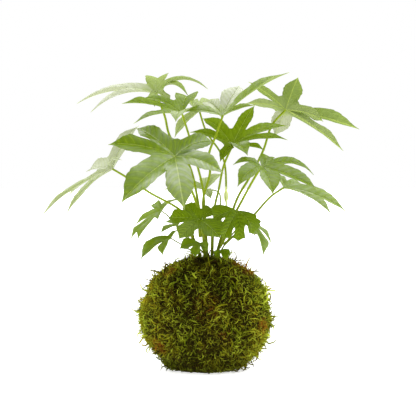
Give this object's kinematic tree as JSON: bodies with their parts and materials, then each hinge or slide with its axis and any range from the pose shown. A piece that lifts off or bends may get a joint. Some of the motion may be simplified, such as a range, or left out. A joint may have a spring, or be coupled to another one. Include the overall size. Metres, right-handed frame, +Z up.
{
  "type": "kokedama moss ball plant",
  "caption": "Moss-wrapped soil ball carrying a clump of palmate-leaved fatsia seedlings, standing on its pressed flat underside.",
  "frame": {"origin": "centre of the flat spot under the moss ball, on the surface it rests on", "axes": "+Z up through the ball, -Y towards the front, +X along the plant's widest spread of leaves"},
  "size_m": [0.3314, 0.1705, 0.3074],
  "materials": {
    "moss": "matte",
    "soil": "matte",
    "stem": "satin",
    "leaf": "satin",
    "shoot": "satin"
  },
  "bodies": {
    "root": {"moss_wrap": "moss", "soil_ball": "soil", "stem_left": "stem", "stem_front": "stem", "stem_back": "stem", "stem_middle": "stem", "stem_right": "stem", "stem_right_back": "stem", "leaf_front_large": "leaf", "leaf_left_drooping": "leaf", "leaf_top_left": "leaf", "leaf_upper_left": "leaf", "leaf_back_pale": "leaf", "leaf_top_middle": "leaf", "leaf_top_right": "leaf", "leaf_middle_dark": "leaf", "leaf_right_middle": "leaf", "leaf_right_low": "leaf", "leaf_front_low_left": "leaf", "leaf_front_low_right": "leaf", "leaf_low_right_pale": "leaf", "leaf_low_left_pale": "leaf", "leaf_low_left_dark": "leaf", "leaf_left_inner": "leaf", "leaf_base_left": "leaf", "leaf_base_right": "leaf", "leaf_back_middle": "leaf", "young_shoot": "shoot"}
  },
  "joints": []
}
